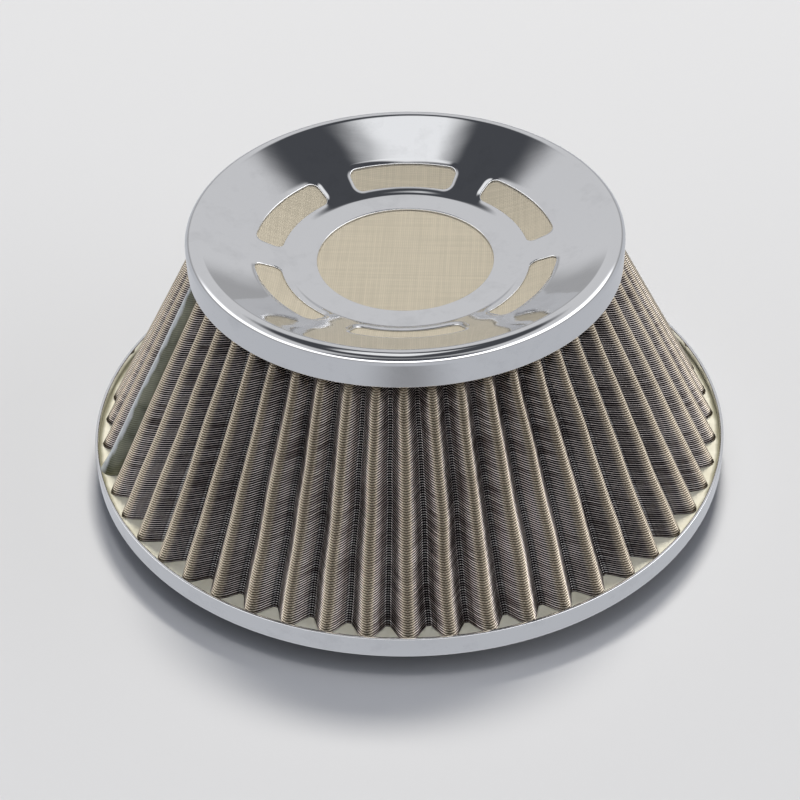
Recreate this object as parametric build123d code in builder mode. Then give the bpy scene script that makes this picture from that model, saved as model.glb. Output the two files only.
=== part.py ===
from build123d import *
from math import acos, atan2, ceil, copysign, cos, degrees, radians, sin, tan
import os

# Cone air filter. A strip of woven wire is folded into pleats and closed to a cone, and resin
# holds its ends in a chromed base pan below and under a dished, chromed cap above.
# Millimetres, +Z up along the axis, with Z = 0 on the foot of the inlet collar.

# Base pan
base_d = 200.0  # outside of the rim
rim_h = 8.0  # rim, from the underside of the pan
pan_sheet = 1.0
rim_bend = 2.0  # outside radius between rim and pan
inlet_d = 76.0  # bore that takes the intake pipe
collar_h = 6.0  # inlet collar, from its foot to the underside of the pan
inlet_bend = 3.0  # rounding where the pan turns down into the bore

# Base resin
base_resin_below_rim = 3.0
base_resin_w = 14.0

# Pleats, at the base resin
pleat_count = 51
pleat_angle = -91.2  # direction of one crest
pleat_depth = 6.0
crest_round = 2.4
root_round = 1.1
crest_flats = 3
mesh_t = 0.7
rim_gap = 1.1  # crest to rim, where the pleats leave the base resin
skirt_gap = 0.8  # crest to skirt, where the pleats go under the cap

# Resin bead over the seam of the strip
seam_pleat = 40  # crest that carries the bead, counted round from the first
bead_film = 0.4
bead_gap = 0.08
bead_cover = 2.6  # down each flank

# Cap
cap_d = 131.4  # outside of the skirt
cap_sheet = 0.8
crown_rise = 74.4  # crown above the rim
skirt_h = 10.6  # from the crown down
crown_bend = 3.0  # outside radius between dish and skirt
dish_angle = 24.6  # slope of the dish
dish_floor_d = 68.6  # where that slope meets the flat floor
hole_d = 53.2
window_count = 6
window_inner_d = 75.0
window_outer_d = 91.0
window_angle = 44.6  # that one window covers
window_corner_share = 0.31  # corner radius as a share of the window's width

# Screen and resin under the cap
screen_t = 0.5
screen_d = 106.0
top_resin_recess = 1.7  # resin above the mouth of the skirt

# Bends of the sheets
flat_angle = 45.0  # most that one flat of a bend turns by
inner_angle = 120.0  # the same inside a bend that the resin fills

# Levels and radii that follow
pan_z = collar_h
pan_top_z = pan_z + pan_sheet
rim_z = pan_z + rim_h
base_resin_z = rim_z - base_resin_below_rim
crown_z = rim_z + crown_rise
skirt_z = crown_z - skirt_h
top_resin_z = skirt_z + top_resin_recess

base_r = base_d / 2
rim_inside_r = base_r - pan_sheet
inlet_r = inlet_d / 2
collar_r = inlet_r + pan_sheet
cap_r = cap_d / 2
skirt_inside_r = cap_r - cap_sheet
hole_r = hole_d / 2
window_corner = window_corner_share * (window_outer_d - window_inner_d) / 2
screen_r = screen_d / 2
screen_foot = cap_sheet + screen_t

dish_slope = tan(radians(dish_angle))
dish_floor_r = dish_floor_d / 2
crown_drop = crown_bend / cos(radians(dish_angle)) - crown_bend
dish_floor_z = crown_z + crown_drop - (cap_r - crown_bend - dish_floor_r) * dish_slope

base_crest_r = rim_inside_r - rim_gap
mouth_crest_r = skirt_inside_r - skirt_gap
crest_lean = (base_crest_r - mouth_crest_r) / (skirt_z - base_resin_z)
top_scale = (mouth_crest_r - crest_lean * top_resin_recess) / base_crest_r
pleat_pitch = 360 / pleat_count
seam_angle = pleat_angle + seam_pleat * pleat_pitch


def toward(angle):
    """Unit vector in the XY plane at an angle from +X."""
    return Vector(cos(radians(angle)), sin(radians(angle)))


def bent_line(corners, bends, most_angle=flat_angle):
    """Draw a line through corners, with each bend made of flats that end on its radius."""
    corners = [Vector(*corner) for corner in corners]
    points = [corners[0]]
    for before, corner, after, bend in zip(corners, corners[1:], corners[2:], bends):
        arriving = (corner - before).normalized()
        turn = arriving.get_signed_angle(after - corner, Vector(0, 0, 1))
        start = corner - arriving * (bend * tan(radians(abs(turn) / 2)))
        centre = start + arriving.rotate(Axis.Z, copysign(90, turn)) * bend
        flats = ceil(abs(turn) / most_angle)
        for flat in range(flats + 1):
            points.append(centre + (start - centre).rotate(Axis.Z, turn * flat / flats))
    points.append(corners[-1])
    return Polyline(*points)


def dish_corner(depth):
    """Where the slope of the dish meets its floor, at a depth below the top face."""
    return Vector(dish_floor_r + depth * tan(radians(dish_angle / 2)), dish_floor_z - depth)


def dish_point(depth, radius):
    """A point of the slope of the dish, at a depth below the top face and a radius."""
    corner = dish_corner(depth)
    return Vector(radius, corner.Y + (radius - corner.X) * dish_slope)


# Centres of the crest and root roundings of the first pleat. Its flank is the straight line that
# touches both roundings and crosses between them.
crest_centre = Vector(base_crest_r - crest_round, 0)
root_centre = toward(pleat_pitch / 2) * (base_crest_r - pleat_depth + root_round)
centre_span = root_centre - crest_centre
flank_facing = degrees(
    atan2(centre_span.Y, centre_span.X) - acos((crest_round + root_round) / centre_span.length)
)
crest_angles = [flank_facing * (2 * step / crest_flats - 1) for step in range(crest_flats + 1)]
root_angles = [flank_facing, pleat_pitch - flank_facing]


def pleat_ring(level, scale, inset):
    """Corners round all the pleats at a level and a scale, moved into the sheet by an inset."""
    crest = [crest_centre * scale + toward(a) * (crest_round * scale - inset) for a in crest_angles]
    root = [root_centre * scale - toward(a) * (root_round * scale + inset) for a in root_angles]
    turns = [pleat_angle + number * pleat_pitch for number in range(pleat_count)]
    rise = Vector(0, 0, level)
    return [point.rotate(Axis.Z, turn) + rise for turn in turns for point in crest + root]


def bead_outline(scale):
    """Draw the section of the bead, which follows one crest and the start of its flanks."""
    faces = []
    for reach in (crest_round * scale + bead_gap, crest_round * scale + bead_gap + bead_film):
        crest = [crest_centre * scale + toward(a) * reach for a in crest_angles]
        first = crest[0] + toward(crest_angles[0] - 90) * bead_cover
        last = crest[-1] + toward(crest_angles[-1] + 90) * bead_cover
        faces.append([point.rotate(Axis.Z, seam_angle) for point in [first, *crest, last]])
    inner, outer = faces
    Polyline(*inner, *reversed(outer), close=True)


# Base pan: one drawn sheet, from the rim across the pan and down into the inlet collar
with BuildPart() as base_pan:
    with BuildSketch(Plane.XZ):
        with BuildLine():
            outside = bent_line(
                [(base_r, rim_z), (base_r, pan_z), (collar_r, pan_z), (collar_r, 0)],
                [rim_bend, inlet_bend - pan_sheet],
            )
            inside = bent_line(
                [(rim_inside_r, pan_top_z), (inlet_r, pan_top_z), (inlet_r, 0)],
                [inlet_bend],
            )
            Polyline(outside @ 0, (rim_inside_r, rim_z), inside @ 0)
            Line(outside @ 1, inside @ 1)
        make_face()
    revolve(axis=Axis.Z)

# Base resin: a ring cast into the channel behind the rim
with BuildPart() as base_resin:
    with BuildSketch(Plane.XZ):
        with Locations((rim_inside_r, pan_top_z)):
            Rectangle(base_resin_w, base_resin_z - pan_top_z, align=(Align.MAX, Align.MIN))
    revolve(axis=Axis.Z)

# Pleated mesh: a strip folded into flat panels from resin to resin, with its two cut ends
with BuildPart() as pleated_mesh:
    panels = []
    feet = []
    heads = []
    for inset in (0, mesh_t):
        foot = pleat_ring(base_resin_z, 1, inset)
        head = pleat_ring(top_resin_z, top_scale, inset)
        for fold in range(len(foot)):
            corners = [foot[fold - 1], foot[fold], head[fold], head[fold - 1]]
            panels.append(Face(Wire.make_polygon(corners)))
        feet.append(Wire.make_polygon(foot))
        heads.append(Wire.make_polygon(head))
    cut_ends = [Face(outer, [inner]) for outer, inner in (feet, heads)]
    add(Solid(Shell(panels + cut_ends)))

# Resin bead over the seam
with BuildPart() as seam_bead:
    for level, scale in ((base_resin_z, 1), (top_resin_z, top_scale)):
        with BuildSketch(Plane.XY.offset(level)):
            with BuildLine():
                bead_outline(scale)
            make_face()
    loft(ruled=True)

# One window of the cap, on the +X side
with BuildSketch() as window:
    with BuildLine():
        for window_d in (window_inner_d, window_outer_d):
            CenterArc((0, 0), window_d / 2, -window_angle / 2, window_angle)
        for edge in (-window_angle / 2, window_angle / 2):
            Line(toward(edge) * (window_inner_d / 2), toward(edge) * (window_outer_d / 2))
    make_face()
    fillet(window.vertices(), radius=window_corner)

# Cap: a pressed sheet with a dish, a crown and a skirt, pierced by the hole and the windows
with BuildPart() as top_cap:
    with BuildSketch(Plane.XZ):
        with BuildLine():
            over = bent_line(
                [dish_corner(0), dish_point(0, cap_r), (cap_r, skirt_z)],
                [crown_bend],
            )
            under = bent_line(
                [dish_corner(cap_sheet), dish_point(cap_sheet, skirt_inside_r), (skirt_inside_r, skirt_z)],
                [crown_bend - cap_sheet],
                inner_angle,
            )
            Polyline(over @ 0, (hole_r, dish_floor_z), (hole_r, dish_floor_z - cap_sheet), under @ 0)
            Line(over @ 1, under @ 1)
        make_face()
    revolve(axis=Axis.Z)
    with BuildSketch(Plane.XY.offset(skirt_z)):
        with PolarLocations(0, window_count, start_angle=90):
            add(window.sketch)
    extrude(amount=skirt_h, both=True, mode=Mode.SUBTRACT)

# Screen: a woven disc pressed to the dish, against its lower face
with BuildPart() as top_screen:
    with BuildSketch(Plane.XZ):
        with BuildLine():
            Polyline(
                (0, dish_floor_z - cap_sheet),
                dish_corner(cap_sheet),
                dish_point(cap_sheet, screen_r),
                dish_point(screen_foot, screen_r),
                dish_corner(screen_foot),
                (0, dish_floor_z - screen_foot),
                close=True,
            )
        make_face()
    revolve(axis=Axis.Z)

# Top resin: a ring cast into the cap round the screen, up to the lower face of the dish
with BuildPart() as top_resin:
    with BuildSketch(Plane.XZ):
        with BuildLine():
            roof = bent_line(
                [
                    dish_point(cap_sheet, screen_r),
                    dish_point(cap_sheet, skirt_inside_r),
                    (skirt_inside_r, top_resin_z),
                ],
                [crown_bend - cap_sheet],
                inner_angle,
            )
            Polyline(roof @ 1, (screen_r, top_resin_z), roof @ 0)
        make_face()
    revolve(axis=Axis.Z)

pieces = {
    "base_pan": base_pan,
    "base_resin": base_resin,
    "pleated_mesh": pleated_mesh,
    "seam_bead": seam_bead,
    "top_cap": top_cap,
    "top_screen": top_screen,
    "top_resin": top_resin,
}
os.makedirs("parts", exist_ok=True)
for name, piece in pieces.items():
    piece.part.label = name
    export_step(piece.part, f"parts/{name}.step")
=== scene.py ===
"""Looks of a cone air filter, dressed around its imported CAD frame.

A strip of woven wire is folded into pleats and closed to a cone. Resin holds the strip's ends in a chromed
base pan below and under a dished, chromed cap above. Sizes are metres in the frame's own axes: +Z runs up
along the filter's axis, and the camera looks from the -Y side.
"""

from __future__ import annotations

import logging
import math
from collections.abc import Mapping, Sequence
from dataclasses import dataclass
from enum import Enum

import bmesh
import bpy
from mathutils import Matrix, Vector, noise

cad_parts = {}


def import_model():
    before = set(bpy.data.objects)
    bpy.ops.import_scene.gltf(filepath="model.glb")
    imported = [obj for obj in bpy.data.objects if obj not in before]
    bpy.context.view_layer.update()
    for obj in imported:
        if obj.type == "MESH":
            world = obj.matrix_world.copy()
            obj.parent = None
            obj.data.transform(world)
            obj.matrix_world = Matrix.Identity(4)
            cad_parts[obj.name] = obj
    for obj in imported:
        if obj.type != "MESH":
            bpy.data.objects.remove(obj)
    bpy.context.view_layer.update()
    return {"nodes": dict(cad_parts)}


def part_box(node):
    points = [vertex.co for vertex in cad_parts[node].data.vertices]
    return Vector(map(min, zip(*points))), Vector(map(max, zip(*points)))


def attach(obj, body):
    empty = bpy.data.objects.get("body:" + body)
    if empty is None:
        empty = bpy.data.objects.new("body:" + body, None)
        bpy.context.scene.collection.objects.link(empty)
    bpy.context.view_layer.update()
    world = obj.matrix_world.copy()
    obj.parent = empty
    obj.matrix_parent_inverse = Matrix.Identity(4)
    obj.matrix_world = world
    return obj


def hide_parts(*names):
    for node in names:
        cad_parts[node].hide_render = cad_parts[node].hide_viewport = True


LOG = logging.getLogger("cone_air_filter")
MM = 0.001
BODY = "root"
ARC_STEP = math.radians(7.5)
LATHE_SEGMENTS = 216
MERGE_DISTANCE = 1e-6
WIDE_FACE_WEIGHT = 100

# Blender's names for the kinds of node that come up most
BUMP = "ShaderNodeBump"
COMBINE = "ShaderNodeCombineXYZ"
COORDINATES = "ShaderNodeTexCoord"
MAP_RANGE = "ShaderNodeMapRange"
MAPPING = "ShaderNodeMapping"
MATH = "ShaderNodeMath"
MIX = "ShaderNodeMix"
MIX_SHADER = "ShaderNodeMixShader"
NOISE = "ShaderNodeTexNoise"
PRINCIPLED = "ShaderNodeBsdfPrincipled"
SEPARATE = "ShaderNodeSeparateXYZ"
VECTOR_MATH = "ShaderNodeVectorMath"

# Sockets of a mix node by number, because its names repeat, and settings that many nodes share
NUMBER_A, NUMBER_B = 2, 3
COLOUR_A, COLOUR_B = 6, 7
OF_COLOURS = {"data_type": "RGBA", "out": 2}
EASED = {"interpolation_type": "SMOOTHSTEP"}

Rgba = tuple[float, float, float, float]


class Slot(Enum):
    """Material slots."""

    CHROME = "chrome"
    WIRE_MESH = "wire_mesh"
    FINE_SCREEN = "fine_screen"
    RESIN = "resin"
    SEAM_RESIN = "seam_resin"


class CadNode(Enum):
    """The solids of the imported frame."""

    BASE_PAN = "base_pan"
    BASE_RESIN = "base_resin"
    PLEATED_MESH = "pleated_mesh"
    SEAM_BEAD = "seam_bead"
    TOP_CAP = "top_cap"
    TOP_SCREEN = "top_screen"
    TOP_RESIN = "top_resin"


def linear(hex_code: str) -> Rgba:
    """Turn an sRGB hex colour into linear light.

    Args:
        hex_code: Six hex digits after a hash sign.

    Returns:
        Linear red, green and blue, with an alpha of 1.
    """
    channels = [int(hex_code[i : i + 2], 16) / 255 for i in (1, 3, 5)]
    light = [c / 12.92 if c <= 0.04045 else ((c + 0.055) / 1.055) ** 2.4 for c in channels]
    return (*light, 1.0)


def add_node(
    tree: bpy.types.NodeTree,
    kind: str,
    *values: object,
    sockets: Mapping[int | str, object] | None = None,
    out: int | str | None = 0,
    **settings: object,
) -> bpy.types.NodeSocket | bpy.types.bpy_prop_collection:
    """Add a node with its settings, values and links.

    Args:
        tree: Tree that gets the node.
        kind: Blender's name for the kind of node.
        values: One value or socket for each input in turn, or None to leave that input alone.
        sockets: Further values or sockets by input name or number.
        out: Output to give back, or None for all of them.
        settings: Properties of the node itself.

    Returns:
        The chosen output, or all outputs where none is chosen or the node has none.
    """
    node = tree.nodes.new(kind)
    for name, setting in settings.items():
        setattr(node, name, setting)
    given: dict[int | str, object] = dict(enumerate(values))
    given.update(sockets or {})
    for key, value in given.items():
        if isinstance(value, bpy.types.NodeSocket):
            tree.links.new(value, node.inputs[key])
        elif value is not None:
            node.inputs[key].default_value = value
    return node.outputs[out] if out is not None and node.outputs else node.outputs


def new_material(name: str) -> tuple[bpy.types.Material, bpy.types.NodeTree]:
    """Make an empty node material.

    Args:
        name: Name of the real material.

    Returns:
        The material and its node tree.
    """
    material = bpy.data.materials.new(name)
    material.use_nodes = True
    material.node_tree.nodes.clear()
    return material, material.node_tree


# Finishes

@dataclass(frozen=True)
class ChromePlate:
    """Chrome plate on pressed steel: a mirror with faint press waves and smudges, and a dull underside."""

    colour: str = "#DCDDDF"
    smudge_colour: str = "#D2D3D5"
    dull_colour: str = "#77797C"
    roughness: float = 0.04
    smudge_roughness: float = 0.075
    dull_roughness: float = 0.42
    smudge_size: float = 9 * MM
    smudge_range: tuple[float, float] = (0.52, 0.78)
    dull_facing: tuple[float, float] = (-0.6, -0.85)
    wave_size: float = 16 * MM
    wave_height: float = 0.13 * MM
    scratch_length: float = 14 * MM
    scratch_stretch: float = 14.0
    scratch_turn: tuple[float, float, float] = (0.2, 0.5, 0.9)
    scratch_height: float = 0.0016 * MM

    def relief(self, tree: bpy.types.NodeTree, place: bpy.types.NodeSocket) -> bpy.types.NodeSocket:
        """Press waves and scratches into the plate.

        Args:
            tree: Tree of the material.
            place: Place on the object.

        Returns:
            The normal of the uneven plate.
        """
        waves = add_node(tree, NOISE, place, sockets={"Scale": 1 / self.wave_size, "Detail": 1.0})
        drawn = add_node(
            tree,
            MAPPING,
            place,
            sockets={"Rotation": self.scratch_turn, "Scale": (1.0, self.scratch_stretch, 1.0)},
        )
        scratches = add_node(tree, NOISE, drawn, sockets={"Scale": 1 / self.scratch_length, "Detail": 3.0})
        waved = add_node(
            tree, BUMP, sockets={"Strength": 1.0, "Distance": self.wave_height, "Height": waves}
        )
        return add_node(
            tree,
            BUMP,
            sockets={"Strength": 1.0, "Distance": self.scratch_height, "Height": scratches, "Normal": waved},
        )

    def material(self) -> bpy.types.Material:
        """Build the material.

        Returns:
            The material.
        """
        material, tree = new_material("chrome_plate")
        place = add_node(tree, COORDINATES, out="Object")

        # Smudges on the polish
        smudges = add_node(
            tree, NOISE, place, sockets={"Scale": 1 / self.smudge_size, "Detail": 6.0, "Roughness": 0.65}
        )
        smudged = add_node(tree, MAP_RANGE, smudges, *self.smudge_range, 0.0, 1.0)
        colour = add_node(
            tree,
            MIX,
            smudged,
            sockets={COLOUR_A: linear(self.colour), COLOUR_B: linear(self.smudge_colour)},
            **OF_COLOURS,
        )
        polish = add_node(tree, MAP_RANGE, smudged, 0.0, 1.0, self.roughness, self.smudge_roughness)

        # Faces that look down are dull
        facing = add_node(tree, SEPARATE, add_node(tree, COORDINATES, out="Normal"), out=None)
        dull = add_node(tree, MAP_RANGE, facing["Z"], *self.dull_facing, 0.0, 1.0)
        plate = add_node(
            tree, MIX, dull, sockets={COLOUR_A: colour, COLOUR_B: linear(self.dull_colour)}, **OF_COLOURS
        )
        roughness = add_node(tree, MIX, dull, sockets={NUMBER_A: polish, NUMBER_B: self.dull_roughness})
        normal = self.relief(tree, place)
        surface = add_node(
            tree,
            PRINCIPLED,
            sockets={"Base Color": plate, "Metallic": 1.0, "Roughness": roughness, "Normal": normal},
        )
        add_node(tree, "ShaderNodeOutputMaterial", surface)
        return material


@dataclass(frozen=True)
class WovenWire:
    """Dutch weave of stainless wire: close rows of weft that dip under the warp and show as bright dashes.

    The strip's weave attribute holds a point's place along the strip, its place up the slope, and its
    share of the way from a crest to a root.
    """

    weft_pitch: float
    warp_pitch: float
    resin_place: float
    crest_wire: str = "#E6DAC6"
    crest_gap: str = "#544836"
    flank_wire: str = "#FFF6F2"
    root_wire: str = "#FFFDFC"
    # Near-black gaps in the roots are painted shade in the folds
    shaded_root_gap: str = "#0E0709"
    foot_tint: str = "#3E3024"
    tarnish_and_shade_colour: str = "#5E524E"
    roughness: float = 0.31
    crest_end: tuple[float, float] = (0.03, 0.36)
    root_start: tuple[float, float] = (0.72, 0.95)
    brick_end: float = 0.8
    dip_range: tuple[float, float] = (-0.8, 0.3)
    crest_dip: float = 0.3
    flank_dip: float = 0.1
    root_dip: float = 0.8
    dip_height: float = 0.1 * MM
    crest_reach: float = 0.36
    flank_reach: float = 0.21
    edge_blur: float = 0.1
    stray_length: float = 16 * MM
    row_spread: float = 7.31
    tarnish_size: float = 26 * MM
    tarnish_range: tuple[float, float] = (0.18, 0.4)
    most_tarnish: float = 0.7
    # Share of tarnish left on the crests; it grows to full in the folds as painted shade
    crest_tarnish_and_shade: float = 0.25
    foot_dark_w: float = 1.2 * MM
    foot_dark_share: float = 0.6

    def dashes(
        self,
        tree: bpy.types.NodeTree,
        along: bpy.types.NodeSocket,
        row: bpy.types.NodeSocket,
        off_crest: bpy.types.NodeSocket,
        in_root: bpy.types.NodeSocket,
    ) -> bpy.types.NodeSocket:
        """Dip each row of weft under the warp, set like bricks on a crest and in line down a flank.

        Args:
            tree: Tree of the material.
            along: Place along the strip.
            row: Number of the row of weft.
            off_crest: Share of the way off the crest.
            in_root: Share of the way into the root.

        Returns:
            How much of the row lies on top.
        """
        half_turn = add_node(tree, MAP_RANGE, off_crest, 0.0, self.brick_end, math.pi, 0.0)
        odd = add_node(tree, MATH, row, 2.0, operation="MODULO")
        shift = add_node(tree, MATH, odd, half_turn, operation="MULTIPLY")
        turn = add_node(tree, MATH, along, math.tau / self.warp_pitch, shift, operation="MULTIPLY_ADD")
        wave = add_node(tree, MATH, turn, operation="COSINE")
        dip = add_node(tree, MAP_RANGE, wave, *self.dip_range, 1.0, 0.0)
        stretched = add_node(tree, MAP_RANGE, off_crest, 0.0, 1.0, self.crest_dip, self.flank_dip)
        bent = add_node(tree, MATH, in_root, self.root_dip, stretched, operation="MULTIPLY_ADD")
        hidden = add_node(tree, MATH, dip, bent, operation="MULTIPLY")
        return add_node(tree, MATH, 1.0, hidden, operation="SUBTRACT")

    def tarnish_and_fold_shade(
        self,
        tree: bpy.types.NodeTree,
        along: bpy.types.NodeSocket,
        row: bpy.types.NodeSocket,
        off_crest: bpy.types.NodeSocket,
    ) -> bpy.types.NodeSocket:
        """Cloud the sheet with tarnish, and give each row a tone of its own. The tarnish is weaker on the
        crests, which paints shade into the folds.

        Args:
            tree: Tree of the material.
            along: Place along the strip.
            row: Number of the row of weft.
            off_crest: Share of the way off the crest.

        Returns:
            Share of tarnish and painted shade on the wire.
        """
        stray = add_node(tree, MATH, along, self.stray_length, operation="DIVIDE")
        spread = add_node(tree, MATH, row, self.row_spread, operation="MULTIPLY")
        row_tone = add_node(
            tree,
            NOISE,
            add_node(tree, COMBINE, stray, spread, 0.0),
            sockets={"Scale": 1.0, "Detail": 1.0},
            noise_dimensions="2D",
        )
        place = add_node(tree, COORDINATES, out="Object")
        cloud = add_node(tree, NOISE, place, sockets={"Scale": 1 / self.tarnish_size, "Detail": 4.0})
        tone = add_node(tree, MATH, row_tone, cloud, operation="MULTIPLY")
        dulled = add_node(tree, MAP_RANGE, tone, *self.tarnish_range, 0.0, self.most_tarnish)
        # Tarnish is weaker on the crests and full in the folds: painted shade
        fold_shade = add_node(tree, MAP_RANGE, off_crest, 0.0, 1.0, self.crest_tarnish_and_shade, 1.0)
        return add_node(tree, MATH, dulled, fold_shade, operation="MULTIPLY")

    def material(self) -> bpy.types.Material:
        """Build the material.

        Returns:
            The material.
        """
        material, tree = new_material("woven_stainless_wire")
        weave = add_node(tree, "ShaderNodeAttribute", out="Vector", attribute_name="weave")
        along, up, root = add_node(tree, SEPARATE, weave, out=None)
        off_crest = add_node(tree, MAP_RANGE, root, *self.crest_end, 0.0, 1.0, **EASED)
        in_root = add_node(tree, MAP_RANGE, root, *self.root_start, 0.0, 1.0, **EASED)

        # Wire shows along the middle of each row, and a gap between rows
        row_place = add_node(tree, MATH, up, self.weft_pitch, operation="DIVIDE")
        row = add_node(tree, MATH, row_place, operation="ROUND")
        above_row = add_node(tree, MATH, row_place, row, operation="SUBTRACT")
        off_row = add_node(tree, MATH, above_row, operation="ABSOLUTE")
        outer = add_node(tree, MAP_RANGE, off_crest, 0.0, 1.0, self.crest_reach, self.flank_reach)
        inner = add_node(tree, MATH, outer, self.edge_blur, operation="SUBTRACT")
        on_wire = add_node(tree, MAP_RANGE, off_row, outer, inner, 0.0, 1.0)
        dash = self.dashes(tree, along, row, off_crest, in_root)
        shown = add_node(tree, MATH, on_wire, dash, operation="MULTIPLY")

        # Off the crest, wire is paler, and gaps darken towards the root: painted shade in the folds
        bare = linear(self.crest_wire)
        for share, tint in ((off_crest, self.flank_wire), (in_root, self.root_wire)):
            bare = add_node(tree, MIX, share, sockets={COLOUR_A: bare, COLOUR_B: linear(tint)}, **OF_COLOURS)
        gap = add_node(
            tree,
            MIX,
            off_crest,
            sockets={COLOUR_A: linear(self.crest_gap), COLOUR_B: linear(self.shaded_root_gap)},
            **OF_COLOURS,
        )
        wire = add_node(
            tree,
            MIX,
            self.tarnish_and_fold_shade(tree, along, row, off_crest),
            sockets={COLOUR_A: bare, COLOUR_B: linear(self.tarnish_and_shade_colour)},
            blend_type="MULTIPLY",
            **OF_COLOURS,
        )
        woven_colour = add_node(tree, MIX, shown, sockets={COLOUR_A: gap, COLOUR_B: wire}, **OF_COLOURS)

        # The wire darkens over a short way up from the resin at its foot
        foot_dark_end = self.resin_place + self.foot_dark_w
        near_foot = add_node(tree, MAP_RANGE, up, self.resin_place, foot_dark_end, self.foot_dark_share, 0.0, **EASED)
        colour = add_node(
            tree, MIX, near_foot, sockets={COLOUR_A: woven_colour, COLOUR_B: linear(self.foot_tint)}, **OF_COLOURS
        )
        bump = add_node(tree, BUMP, sockets={"Strength": 0.5, "Distance": self.dip_height, "Height": dash})
        surface = add_node(
            tree,
            PRINCIPLED,
            sockets={"Base Color": colour, "Metallic": 1.0, "Roughness": self.roughness, "Normal": bump},
        )
        add_node(tree, "ShaderNodeOutputMaterial", surface)
        return material


@dataclass(frozen=True)
class FineScreen:
    """Fine plain weave of stainless wire: a matt, sand-coloured cloth with faint lines both ways.

    The wires are drawn coarser than the real ones, which are too fine to show.
    """

    wire_pitch: float = 0.62 * MM
    wire_colour: str = "#CEC4B0"
    shade_colour: str = "#C0B7A4"
    gap_colour: str = "#BAB19E"
    metallic: float = 0.3
    roughness: float = 0.5
    height: float = 0.05 * MM
    lay: float = math.radians(4)
    wire_range: tuple[float, float] = (-0.6, 0.9)
    streak_length: float = 100 / 3 * MM
    streak_stretch: float = 40.0
    streak_range: tuple[float, float] = (0.85, 1.2)

    def material(self) -> bpy.types.Material:
        """Build the material.

        Returns:
            The material.
        """
        material, tree = new_material("fine_stainless_screen")
        place = add_node(tree, COORDINATES, out="Object")
        laid = add_node(tree, MAPPING, place, sockets={"Rotation": (0.0, 0.0, self.lay)})
        axes = add_node(tree, SEPARATE, laid, out=None)

        # Wires both ways, and streaks along them
        lines = []
        streaks = []
        for axis, scale in (("X", (1.0, self.streak_stretch, 1.0)), ("Y", (self.streak_stretch, 1.0, 1.0))):
            turn = add_node(tree, MATH, axes[axis], math.tau / self.wire_pitch, operation="MULTIPLY")
            lines.append(add_node(tree, MATH, turn, operation="SINE"))
            drawn = add_node(tree, MAPPING, laid, sockets={"Scale": scale})
            look = {"Scale": 1 / self.streak_length, "Detail": 4.0}
            streaks.append(add_node(tree, NOISE, drawn, sockets=look))
        weave = add_node(tree, MATH, *lines, operation="MAXIMUM")
        shown = add_node(tree, MAP_RANGE, weave, *self.wire_range, 0.0, 1.0)
        streak = add_node(tree, MATH, *streaks, operation="ADD")
        shaded = add_node(tree, MAP_RANGE, streak, *self.streak_range, 0.0, 1.0)
        wire = add_node(
            tree,
            MIX,
            shaded,
            sockets={COLOUR_A: linear(self.wire_colour), COLOUR_B: linear(self.shade_colour)},
            **OF_COLOURS,
        )
        colour = add_node(
            tree, MIX, shown, sockets={COLOUR_A: linear(self.gap_colour), COLOUR_B: wire}, **OF_COLOURS
        )
        bump = add_node(tree, BUMP, sockets={"Strength": 0.3, "Distance": self.height, "Height": weave})
        surface = add_node(
            tree,
            PRINCIPLED,
            sockets={
                "Base Color": colour,
                "Metallic": self.metallic,
                "Roughness": self.roughness,
                "Normal": bump,
            },
        )
        add_node(tree, "ShaderNodeOutputMaterial", surface)
        return material


@dataclass(frozen=True)
class CastResin:
    """Cream polyurethane resin, poured and cured: waxy, softly glossy, mottled, and darkened along the rim
    with painted shade.
    """

    rim_r: float
    colour: str = "#F8F4E2"
    deep_colour: str = "#EBE5CF"
    rim_shade_colour: str = "#858168"
    roughness: float = 0.38
    ior: float = 1.48
    mottle_size: float = 5 * MM
    mottle_range: tuple[float, float] = (0.35, 0.75)
    rim_shade_w: float = 1.0 * MM
    rim_shade_share: float = 0.9
    skin_size: float = 1.6 * MM
    skin_height: float = 0.12 * MM

    def material(self) -> bpy.types.Material:
        """Build the material.

        Returns:
            The material.
        """
        material, tree = new_material("cast_polyurethane_resin")
        place = add_node(tree, COORDINATES, out="Object")
        mottle = add_node(tree, NOISE, place, sockets={"Scale": 1 / self.mottle_size, "Detail": 5.0})
        mottled = add_node(tree, MAP_RANGE, mottle, *self.mottle_range, 0.0, 1.0)
        colour = add_node(
            tree,
            MIX,
            mottled,
            sockets={COLOUR_A: linear(self.colour), COLOUR_B: linear(self.deep_colour)},
            **OF_COLOURS,
        )

        # Painted shade along the rim, with an uneven edge
        flat = add_node(tree, MAPPING, place, sockets={"Scale": (1.0, 1.0, 0.0)})
        from_axis = add_node(tree, VECTOR_MATH, flat, out="Value", operation="LENGTH")
        uneven = add_node(tree, MATH, mottle, self.rim_shade_w, from_axis, operation="MULTIPLY_ADD")
        rim_shade_r = self.rim_r - self.rim_shade_w
        by_rim = add_node(tree, MAP_RANGE, uneven, rim_shade_r, self.rim_r, 0.0, self.rim_shade_share)
        rim_shaded = add_node(
            tree, MIX, by_rim, sockets={COLOUR_A: colour, COLOUR_B: linear(self.rim_shade_colour)}, **OF_COLOURS
        )
        skin = add_node(tree, NOISE, place, sockets={"Scale": 1 / self.skin_size, "Detail": 2.0})
        bump = add_node(tree, BUMP, sockets={"Strength": 0.7, "Distance": self.skin_height, "Height": skin})
        surface = add_node(
            tree,
            PRINCIPLED,
            sockets={"Base Color": rim_shaded, "Roughness": self.roughness, "IOR": self.ior, "Normal": bump},
        )
        add_node(tree, "ShaderNodeOutputMaterial", surface)
        return material


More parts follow.
